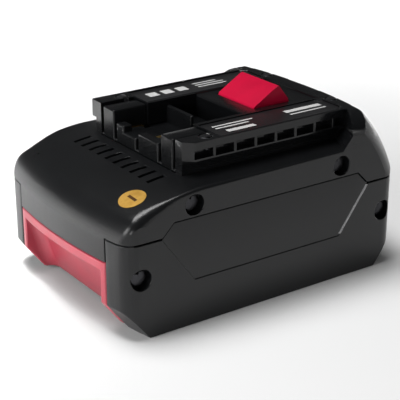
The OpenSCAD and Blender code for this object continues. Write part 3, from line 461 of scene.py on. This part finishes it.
# The side panels are let in less deep than the solid, so that their outline stays faint
panel_y, panel_foot_z, panel_lift = 0.0369, 0.01, 0.0003
bpy.ops.object.mode_set(mode="EDIT")
bpy.ops.mesh.select_all(action="DESELECT")
for side in (-1, 1):
    shell_mesh = bmesh.from_edit_mesh(bottom_shell.data)
    for corner in shell_mesh.verts:
        on_panel = abs(corner.co.y - side * panel_y) < 0.00001
        corner.select_set(on_panel and corner.co.z > panel_foot_z)
    shell_mesh.select_flush_mode()
    bmesh.update_edit_mesh(bottom_shell.data)
    bpy.ops.transform.translate(value=(0, side * panel_lift, 0))
bpy.ops.object.mode_set(mode="OBJECT")


# Outer edges are rounded fully, the panel's edges a little less and the inside not at all
def lower_edge_share(spot):
    if abs(spot.y) > 0.0374 and 0.014 < spot.z < 0.0315 and abs(spot.x) < 0.041:
        return 0.8
    return 1.0 if abs(spot.y) > 0.0355 or abs(spot.x) > 0.0525 else 0.0


round_edges(bottom_shell, 0.0003, lower_edge_share)
dress([bottom_shell], case_black)
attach(bottom_shell, "case")
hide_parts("bottom_shell")


# Top shell
# The upper half of the case with deck, vents, hollow tool rails and rear hump, in the same nylon.
# It carries the latch opening and is screwed down to the cell frames.
def deck_edge(piece, side):
    work = bmesh.new()
    work.from_mesh(piece.data)
    corners = {}
    for edge in work.edges:
        if not (edge.is_manifold and edge.is_convex) or edge.calc_face_angle() < math.radians(15):
            continue
        spot = (edge.verts[0].co + edge.verts[1].co) / 2
        up, out = sorted((face.normal for face in edge.link_faces), key=lambda normal: -normal.z)
        if spot.y * side < 0.034 or up.z < 0.2 or abs(out.z) > 0.1 or spot.z > 0.0454:
            continue
        if spot.x > -0.0335 and spot.z < 0.0443:
            continue
        for corner in edge.verts:
            key = (round(corner.co.x, 6), round(corner.co.z, 6))
            entry = corners.setdefault(key, [corner.co.copy(), Vector(), Vector()])
            entry[1] += up
            entry[2] += out
    work.free()
    chain = sorted(corners.values(), key=lambda entry: entry[0].x)
    return [(spot, up.normalized(), out.normalized()) for spot, up, out in chain]


# The rounding is widest at the front, narrows along the deck and dies out at the hump
def deck_edge_radius(x):
    if x > 0.015:
        return 0.0003 + 0.0008 * min(max((0.0296 - x) / 0.0146, 0), 1)
    share = min(max((-0.034 - x) / 0.014, 0), 1)
    return 0.0011 + 0.0026 * share * share * (3 - 2 * share)


def cut_edge_waste(piece, chain):
    arc_steps, overrun, clear = 8, 0.15, 0.0012
    work = bmesh.new()
    rings = []
    for spot, up, out in chain:
        radius = deck_edge_radius(spot.x)
        spread = up.angle(out)
        middle = spot - (up + out) * (radius / (1 + up.dot(out)))
        arc = []
        for i in range(arc_steps + 1):
            turn_share = spread * i / arc_steps
            reach = up * math.sin(spread - turn_share) + out * math.sin(turn_share)
            arc.append(middle + reach * (radius / math.sin(spread)))
        arc[0] += (arc[0] - arc[1]) * overrun
        arc[-1] += (arc[-1] - arc[-2]) * overrun
        ring = arc + [arc[-1] + out * clear, spot + (up + out) * 0.0014, arc[0] + up * clear]
        rings.append([work.verts.new(place) for place in ring])
    count = len(rings[0])
    for ring, following in zip(rings, rings[1:]):
        for i in range(count):
            j = (i + 1) % count
            work.faces.new((ring[i], ring[j], following[j], following[i]))
    work.faces.new(rings[0][::-1])
    work.faces.new(rings[-1])
    bmesh.ops.recalc_face_normals(work, faces=work.faces[:])
    waste = bpy.data.objects.new("edge_waste", bpy.data.meshes.new("edge_waste"))
    work.to_mesh(waste.data)
    work.free()
    bpy.context.scene.collection.objects.link(waste)
    bpy.ops.object.select_all(action="DESELECT")
    piece.select_set(True)
    bpy.context.view_layer.objects.active = piece
    cut = piece.modifiers.new("edge_cut", "BOOLEAN")
    cut.operation = "DIFFERENCE"
    cut.solver = "EXACT"
    cut.object = waste
    bpy.ops.object.modifier_apply(modifier="edge_cut")
    bpy.data.objects.remove(waste)


# The rims of the flange hollows are rounded by half, the rails fully and the inside not at all
def shell_edge_share(spot):
    if 0.0502 < spot.z < 0.0553 and abs(spot.y) > 0.028 and spot.x > -0.021:
        return 0.5
    if spot.z > 0.045 or abs(spot.y) > 0.0372:
        return 1.0 if spot.z > 0.0498 else 0.75
    return 0.0


top_shell = merged_copy("top_shell", "upper_case")
# The hollows along the rail flanges go deeper than in the solid, so that they lie in the dark
hollow_y, hollow_low, hollow_high, hollow_more = 0.02735, 0.0505, 0.0536, 0.0014
hollows = bmesh.new()
hollows.from_mesh(top_shell.data)
for corner in hollows.verts:
    if abs(abs(corner.co.y) - hollow_y) < 0.00002 and hollow_low < corner.co.z < hollow_high:
        corner.co.y -= math.copysign(hollow_more, corner.co.y)
hollows.to_mesh(top_shell.data)
hollows.free()
for side in (-1, 1):
    cut_edge_waste(top_shell, deck_edge(top_shell, side))
round_edges(top_shell, 0.0004, shell_edge_share)
# Hairline slits left behind the vents are closed
closing = bmesh.new()
closing.from_mesh(top_shell.data)
bmesh.ops.holes_fill(closing, edges=[edge for edge in closing.edges if edge.is_boundary])
closing.to_mesh(top_shell.data)
closing.free()
dress([top_shell], case_black)
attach(top_shell, "case")
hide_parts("top_shell")


# Terminal block
# A separate black moulding that drops in between the rails and guides the tool's blades.
# A smoother tool gives it a finer face than the case.
block_black = moulded_plastic(
    "block_black", (0.0064, 0.0068, 0.0074), (0.014, 0.014, 0.015), (0.03, 0.029, 0.027),
    rough=0.2, grain=0.0003, depth=0.000008, reach=0.0006, wear_glint_amount=0.6, dust=0.05, specular=0.18,
)
terminal_block = merged_copy("contact_holder", "terminal_block")
round_edges(terminal_block, 0.0005, lambda spot: 1.0)
dress([terminal_block], block_black)
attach(terminal_block, "case")
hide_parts("contact_holder")


# Contacts
# Forked leaves of spring brass, stamped and bent, standing on the board in the slots.
# The rubbing of the blades polishes them in streaks.
contact_brass = grained_finish(
    "contact_brass", (0.55, 0.38, 0.14), (0.7, 0.5, 0.2),
    rough=(0.2, 0.35), grain=0.0003, depth=0.000005, metallic=1.0,
)
dress([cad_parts[f"contact_{i}"] for i in range(1, 6)], contact_brass)


# Release button
# The red push panel at the short end with finger scoop and two arms, moulded in one in satin red.
# It slides inwards between the shells and pulls the latch down with its cam plates.
button_red = moulded_plastic(
    "button_red", (0.54, 0.052, 0.085), (0.62, 0.1, 0.13), (0.5, 0.2, 0.18),
    rough=0.32, grain=0.0003, depth=0.00001, reach=0.0009, wear_glint_amount=0.8, dust=0.06, specular=0.8,
)
release_button = merged_copy("release_button", "push_panel")
round_edges(release_button, 0.0005, lambda spot: 1.0)
# The upright corners of the finger scoop are filled with a wide hollow round
scoop_foot, scoop_head, scoop_half = (-0.0452, 0.0012), (-0.0510, 0.0204), 0.0244
fill_steps, fill_arc_steps, fill_sunk, fill_widest = 12, 8, 0.0004, 0.0038
panel = bmesh.new()
panel.from_mesh(release_button.data)
panel_surface = BVHTree.FromBMesh(panel)
for side in (-1, 1):
    rings = []
    for step in range(fill_steps + 1):
        back = scoop_foot[0] + (scoop_head[0] - scoop_foot[0]) * step / fill_steps
        height = scoop_foot[1] + (scoop_head[1] - scoop_foot[1]) * step / fill_steps
        outside = Vector((-0.1, side * 0.026, height + 0.0002))
        front = panel_surface.ray_cast(outside, Vector((1, 0, 0)))[0].x
        reach = max(fill_sunk, min(fill_widest, 0.88 * (back - front)))
        buried = scoop_half + fill_sunk
        outline = [(back + fill_sunk, buried), (back + fill_sunk, scoop_half - reach)]
        for arc_step in range(fill_arc_steps + 1):
            angle = math.radians(90) * arc_step / fill_arc_steps
            outline.append(
                (back - reach * (1 - math.cos(angle)), scoop_half - reach * (1 - math.sin(angle)))
            )
        outline.append((back - reach, buried))
        top = height + 0.0003 if step == fill_steps else height
        rings.append([panel.verts.new((x, side * y, top)) for x, y in outline])
    filling = [panel.faces.new(rings[0]), panel.faces.new(rings[-1])]
    count = len(rings[0])
    for low, high in zip(rings, rings[1:]):
        for spot in range(count):
            after = (spot + 1) % count
            face = panel.faces.new((low[spot], low[after], high[after], high[spot]))
            face.smooth = 2 <= spot <= count - 3
            filling.append(face)
    bmesh.ops.recalc_face_normals(panel, faces=filling)
    for face in filling:
        for edge in face.edges:
            if len({linked.smooth for linked in edge.link_faces}) == 2:
                edge.smooth = False
panel.to_mesh(release_button.data)
panel.free()
# Light that it throws on the pale floor is kept faint
red_nodes, red_links = button_red.node_tree.nodes, button_red.node_tree.links
red_tone = red_nodes["Principled BSDF"].inputs["Base Color"]
red_bounce = red_nodes.new("ShaderNodeLightPath").outputs["Is Diffuse Ray"]
red_under = red_tone.links[0].from_socket
red_links.new(mix_colour(red_nodes, red_links, red_bounce, red_under, (0.1, 0.04, 0.045)), red_tone)
dress([release_button], button_red)
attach(release_button, "button")
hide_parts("release_button")


# Latch
# The red wedge that snaps into the tool, moulded in the same red, pushed up by two springs.
# Its ridge is rounded where it rides under the tool.
latch = merged_copy("latch", "latch_wedge")
round_edges(latch, 0.0007, lambda spot: 1.0)
latch_red = moulded_plastic(
    "latch_red", (0.54, 0.0008, 0.036), (0.62, 0.01, 0.06), (0.5, 0.1, 0.1),
    rough=0.36, grain=0.0003, depth=0.00001, reach=0.0009, wear_glint_amount=0.5, dust=0.04, specular=0.25,
)
dress([latch], latch_red)
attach(latch, "latch")
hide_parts("latch")


# Cross pin and latch springs
# A drawn steel pin through the latch and two coils of bright spring wire under it.
# Both keep the faint draw marks of the wire.
drawn_steel = grained_finish(
    "drawn_steel", (0.5, 0.5, 0.52), (0.62, 0.62, 0.64),
    rough=(0.2, 0.34), grain=0.0003, depth=0.000004, metallic=1.0,
)
coils = merged_copy("latch_springs", "latch_coils")
for face in coils.data.polygons:
    face.use_smooth = True
dress([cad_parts["cam_pin"], coils], drawn_steel)
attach(coils, "case")
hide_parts("latch_springs")
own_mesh(coils)


# Side screws
# Eight black zinc plated screws with six-lobe recesses, sunk in the counterbores of the long sides.
# The heads are cold formed, with a rounded rim.
screw_zinc = grained_finish(
    "screw_zinc", (0.028, 0.028, 0.031), (0.055, 0.055, 0.06),
    rough=(0.28, 0.42), grain=0.0003, depth=0.00001, metallic=0.85,
)


def six_lobe_screw(name, head_r, head_h, shank_r, shank_l, recess_r, recess_depth):
    sides = 48
    bpy.ops.object.select_all(action="DESELECT")
    bpy.ops.mesh.primitive_cylinder_add(
        vertices=sides, radius=head_r, depth=head_h, location=(0, 0, head_h / 2)
    )
    screw = bpy.context.active_object
    screw.name = name
    bpy.ops.object.transform_apply(location=True, rotation=True, scale=True)
    bpy.ops.object.mode_set(mode="EDIT")
    work = bmesh.from_edit_mesh(screw.data)
    for face in work.faces:
        face.select_set(face.normal.z > 0.9)
    work.select_flush_mode()
    bmesh.update_edit_mesh(screw.data)
    bpy.ops.mesh.bevel(offset=head_h * 0.35, segments=4, affect="EDGES")
    work = bmesh.from_edit_mesh(screw.data)
    for face in work.faces:
        face.select_set(face.normal.z > 0.999)
    bmesh.update_edit_mesh(screw.data)
    flat_r = max(v.co.to_2d().length for f in work.faces if f.select for v in f.verts)
    bpy.ops.mesh.inset(thickness=flat_r - recess_r)
    work = bmesh.from_edit_mesh(screw.data)
    for v in work.verts:
        v.select_set(False)
    step = 2 * math.pi / sides
    # Each sixth of the rim is drawn in between two lobes
    for lobe_part, scale in (((3, 4, 5), 0.74), ((2, 6), 0.86)):
        work = bmesh.from_edit_mesh(screw.data)
        for v in work.verts:
            near_rim = v.co.z > head_h * 0.999 and v.co.to_2d().length < recess_r * 1.02
            place = round(math.atan2(v.co.y, v.co.x) / step) % (sides // 6)
            v.select_set(near_rim and place in lobe_part)
        bmesh.update_edit_mesh(screw.data)
        bpy.ops.transform.resize(value=(scale, scale, 1), center_override=(0, 0, head_h))
    work = bmesh.from_edit_mesh(screw.data)
    for f in work.faces:
        inside = all(v.co.to_2d().length < recess_r * 1.02 for v in f.verts)
        f.select_set(inside and f.normal.z > 0.999)
    bmesh.update_edit_mesh(screw.data)
    bpy.ops.mesh.extrude_region_move(TRANSFORM_OT_translate={"value": (0, 0, -recess_depth)})
    bpy.ops.mesh.select_all(action="DESELECT")
    work = bmesh.from_edit_mesh(screw.data)
    for f in work.faces:
        f.select_set(f.normal.z < -0.9)
    bmesh.update_edit_mesh(screw.data)
    bpy.ops.mesh.inset(thickness=head_r - shank_r)
    bpy.ops.mesh.extrude_region_move(TRANSFORM_OT_translate={"value": (0, 0, -shank_l)})
    bpy.ops.object.mode_set(mode="OBJECT")
    bpy.ops.object.shade_smooth_by_angle(angle=math.radians(35))
    return screw


def screw_copies(model, name, places, turned):
    made = []
    for place, direction in zip(places, turned):
        copy = model.copy()
        copy.data = model.data.copy()
        bpy.context.scene.collection.objects.link(copy)
        copy.rotation_euler = Vector(direction).to_track_quat("Z", "Y").to_euler()
        copy.location = place
        made.append(copy)
    bpy.ops.object.select_all(action="DESELECT")
    for copy in made:
        copy.select_set(True)
    bpy.context.view_layer.objects.active = made[0]
    bpy.ops.object.transform_apply(location=True, rotation=True, scale=True)
    bpy.ops.object.join()
    made[0].name = name
    bpy.data.objects.remove(model)
    return made[0]


screw_seat = 0.0341
side_places = [(sx * 0.029, sy * screw_seat, 0.0402) for sx in (-1, 1) for sy in (-1, 1)]
side_places += [(sx * 0.0482, sy * screw_seat, 0.0202) for sx in (-1, 1) for sy in (-1, 1)]
side_model = six_lobe_screw(
    "side_screw", head_r=0.0027, head_h=0.0011, shank_r=0.0012, shank_l=0.004,
    recess_r=0.0015, recess_depth=0.0008,
)
side_screws = screw_copies(
    side_model, "side_screw_set", side_places, [(0, math.copysign(1, p[1]), 0) for p in side_places]
)
dress([side_screws], screw_zinc)
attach(side_screws, "case")
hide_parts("side_screws")


# Rail screws
# Four smaller screws of the same kind, two at the front of the rails and two at the rear hump.
# They hold the upper half down on the cell frames.
rail_seat = 0.0548
rail_places = [(-0.0164, sy * 0.0247, rail_seat) for sy in (-1, 1)]
rail_places += [(0.0406, sy * 0.0176, rail_seat) for sy in (-1, 1)]
rail_model = six_lobe_screw(
    "rail_screw", head_r=0.002, head_h=0.0011, shank_r=0.001, shank_l=0.004,
    recess_r=0.0011, recess_depth=0.0008,
)
rail_screws = screw_copies(rail_model, "rail_screw_set", rail_places, [(0, 0, 1)] * 4)
dress([rail_screws], screw_zinc)
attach(rail_screws, "case")
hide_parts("rail_screws")


# Rail labels
# Thin dark printed films stuck in the recesses of the rails, with plain white marks.
# The print is drawn as bars at its place on the film.
bar_group, bar_in, bar_out = new_group(
    "print_bar",
    [("Middle x", 0), ("Middle y", 0), ("Half x", 0.004), ("Half y", 0.0005)],
    ["Print"],
)
bar_place = bar_group.nodes.new("ShaderNodeTexCoord")
bar_split = bar_group.nodes.new("ShaderNodeSeparateXYZ")
bar_group.links.new(bar_place.outputs["Object"], bar_split.inputs[0])
bar_sides = []
for axis in ("x", "y"):
    place, middle = bar_split.outputs[axis.upper()], bar_in.outputs[f"Middle {axis}"]
    half = bar_in.outputs[f"Half {axis}"]
    apart = add_math(bar_group.nodes, bar_group.links, "SUBTRACT", place, middle)
    apart = add_math(bar_group.nodes, bar_group.links, "ABSOLUTE", apart)
    bar_sides.append(add_math(bar_group.nodes, bar_group.links, "LESS_THAN", apart, half))
bar_both = add_math(bar_group.nodes, bar_group.links, "MULTIPLY", *bar_sides)
bar_group.links.new(bar_both, bar_out.inputs["Print"])


def printed_film(name, marks):
    dark_film, light_film = (0.008, 0.008, 0.009), (0.012, 0.012, 0.013)
    white_ink = (0.75, 0.75, 0.74)
    material, nodes, links, shader = new_finish(name)
    grain_node = place_group(nodes, grain_group, grain_size=0.0008)
    ink = None
    for middle_x, middle_y, half_x, half_y in marks:
        bar = place_group(
            nodes, bar_group, middle_x=middle_x, middle_y=middle_y, half_x=half_x, half_y=half_y
        ).outputs[0]
        ink = bar if ink is None else add_math(nodes, links, "MAXIMUM", ink, bar)
    worn_ink = add_math(nodes, links, "MULTIPLY", ink, 0.85)
    mottle = grain_node.outputs["Mottle"]
    film = colour_ramp(nodes, links, mottle, [(0.3, dark_film), (0.7, light_film)])
    links.new(mix_colour(nodes, links, worn_ink, film, white_ink), shader.inputs["Base Color"])
    rough = add_math(nodes, links, "MULTIPLY", mottle, 0.2)
    links.new(add_math(nodes, links, "ADD", rough, 0.22), shader.inputs["Roughness"])
    grain_bump(nodes, links, shader, grain_node, 0.00001)
    return material


# Middle and half size of each mark along X and Y
near_marks = [
    (0.0265, -0.0195, 0.0075, 0.0011),
    (0.0265, -0.0225, 0.0075, 0.0004),
    (-0.0015, -0.0185, 0.0080, 0.0004),
    (-0.0030, -0.0205, 0.0065, 0.0004),
    (-0.0020, -0.0240, 0.0055, 0.0010),
]
far_marks = [
    (-0.0060, 0.0215, 0.0020, 0.0020),
    (0.0000, 0.0215, 0.0020, 0.0020),
    (0.0060, 0.0215, 0.0020, 0.0020),
    (0.0180, 0.0200, 0.0060, 0.0004),
    (0.0180, 0.0220, 0.0060, 0.0004),
    (0.0170, 0.0240, 0.0050, 0.0004),
]
dress([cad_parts["rail_label_near"]], printed_film("near_film", near_marks))
dress([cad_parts["rail_label_far"]], printed_film("far_film", far_marks))


# Round seal
# A gold metallic paper seal on the sloping deck, printed with a dark edge and one plain bar.
# It follows the curve of the case.
seal_low, seal_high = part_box("round_sticker")
seal_middle = (seal_low + seal_high) / 2
seal_gold, seal_nodes, seal_links, seal_shader = new_finish("seal_gold")
seal_place = seal_nodes.new("ShaderNodeTexCoord")
seal_reach = seal_nodes.new("ShaderNodeVectorMath")
seal_reach.operation = "DISTANCE"
seal_links.new(seal_place.outputs["Object"], seal_reach.inputs[0])
seal_reach.inputs[1].default_value = seal_middle
seal_edge_r = 0.0044
seal_edge = add_math(
    seal_nodes, seal_links, "GREATER_THAN", seal_reach.outputs["Value"], seal_edge_r
)
seal_bar = place_group(
    seal_nodes, bar_group,
    middle_x=seal_middle.x, middle_y=seal_middle.y, half_x=0.0005, half_y=0.0022,
)
seal_ink = add_math(seal_nodes, seal_links, "MAXIMUM", seal_edge, seal_bar.outputs[0])
seal_grain = place_group(seal_nodes, grain_group, grain_size=0.0003, mottle_size=0.003)
seal_face = colour_ramp(
    seal_nodes, seal_links, seal_grain.outputs["Mottle"],
    [(0.3, (0.55, 0.3, 0.05)), (0.7, (0.72, 0.44, 0.1))],
)
seal_tone = mix_colour(seal_nodes, seal_links, seal_ink, seal_face, (0.1, 0.04, 0.01))
seal_links.new(seal_tone, seal_shader.inputs["Base Color"])
seal_rough = add_math(seal_nodes, seal_links, "MULTIPLY", seal_grain.outputs["Height"], 0.2)
seal_rough = add_math(seal_nodes, seal_links, "ADD", seal_rough, 0.3)
seal_links.new(seal_rough, seal_shader.inputs["Roughness"])
seal_shader.inputs["Metallic"].default_value = 0.6
dress([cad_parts["round_sticker"]], seal_gold)


# Floor and light
# A plain pale floor under the pack and soft studio light from the left and above.
# The world is bright at the horizon, as pale walls are, and dim overhead.
bpy.ops.object.select_all(action="DESELECT")
bpy.ops.mesh.primitive_circle_add(
    vertices=96, radius=0.9, fill_type="NGON", location=(0, 0, -0.00002)
)
floor = bpy.context.active_object
floor.name = "pale_floor"
floor_pale, _, _, floor_shader = new_finish("floor_pale")
floor_shader.inputs["Base Color"].default_value = (0.9, 0.9, 0.9, 1)
floor_shader.inputs["Roughness"].default_value = 0.9
floor_shader.inputs["Specular IOR Level"].default_value = 0.0
dress([floor], floor_pale)

world = bpy.data.worlds.new("studio")
bpy.context.scene.world = world
world.use_nodes = True
world_nodes, world_links = world.node_tree.nodes, world.node_tree.links
world_place = world_nodes.new("ShaderNodeTexCoord")
world_split = world_nodes.new("ShaderNodeSeparateXYZ")
world_links.new(world_place.outputs["Generated"], world_split.inputs[0])
world_greys = ((0.0, 0.95), (0.07, 0.7), (0.17, 0.03), (1.0, 0.08))
world_tone = colour_ramp(
    world_nodes, world_links, world_split.outputs["Z"],
    [(height, (grey, grey, grey)) for height, grey in world_greys],
)
world_links.new(world_tone, world_nodes["Background"].inputs["Color"])
world_side = world_nodes.new("ShaderNodeVectorMath")
world_side.operation = "DOT_PRODUCT"
world_links.new(world_place.outputs["Generated"], world_side.inputs[0])
world_side.inputs[1].default_value = (-0.6, 0.8, 0)
world_lift = map_range(
    world_nodes, world_links, world_side.outputs["Value"], 0.6, 0.9, to_low=1.0, to_high=2.4
)
world_lift.node.interpolation_type = "SMOOTHSTEP"
world_links.new(world_lift, world_nodes["Background"].inputs["Strength"])


def soft_lamp(name, place, aim, width, height, power):
    lamp = bpy.data.objects.new(name, bpy.data.lights.new(name, "AREA"))
    bpy.context.scene.collection.objects.link(lamp)
    lamp.data.shape = "RECTANGLE"
    lamp.data.size = width
    lamp.data.size_y = height
    lamp.data.energy = power
    lamp.location = place
    lamp.rotation_euler = (Vector(place) - Vector(aim)).to_track_quat("Z", "Y").to_euler()
    return lamp


soft_lamp("ceiling_soft", (-0.12, 0.12, 0.8), (0, 0, 0), 0.4, 0.4, 5.6)
soft_lamp("window_soft", (-0.7, 0.05, 0.3), (0, 0, 0.03), 0.4, 0.3, 2.6)
soft_lamp("front_soft", (-0.68, -0.56, 0.2), (0, 0, 0.03), 0.1, 0.1, 0.9)
# Narrow lamps that light only the floor round the pack
for name, spot, width, height, spread, power in (
    ("floor_back_soft", (0.2, 0.62), 1.0, 0.4, 50, 6.0),
    ("floor_left_soft", (-0.17, 0.12), 0.12, 0.12, 20, 0.25),
    ("floor_right_soft", (0.6, 0.05), 0.4, 0.4, 40, 1.8),
):
    floor_lamp = soft_lamp(name, (*spot, 0.9), (*spot, 0), width, height, power)
    floor_lamp.data.spread = math.radians(spread)

bpy.context.scene.view_settings.view_transform = "Standard"
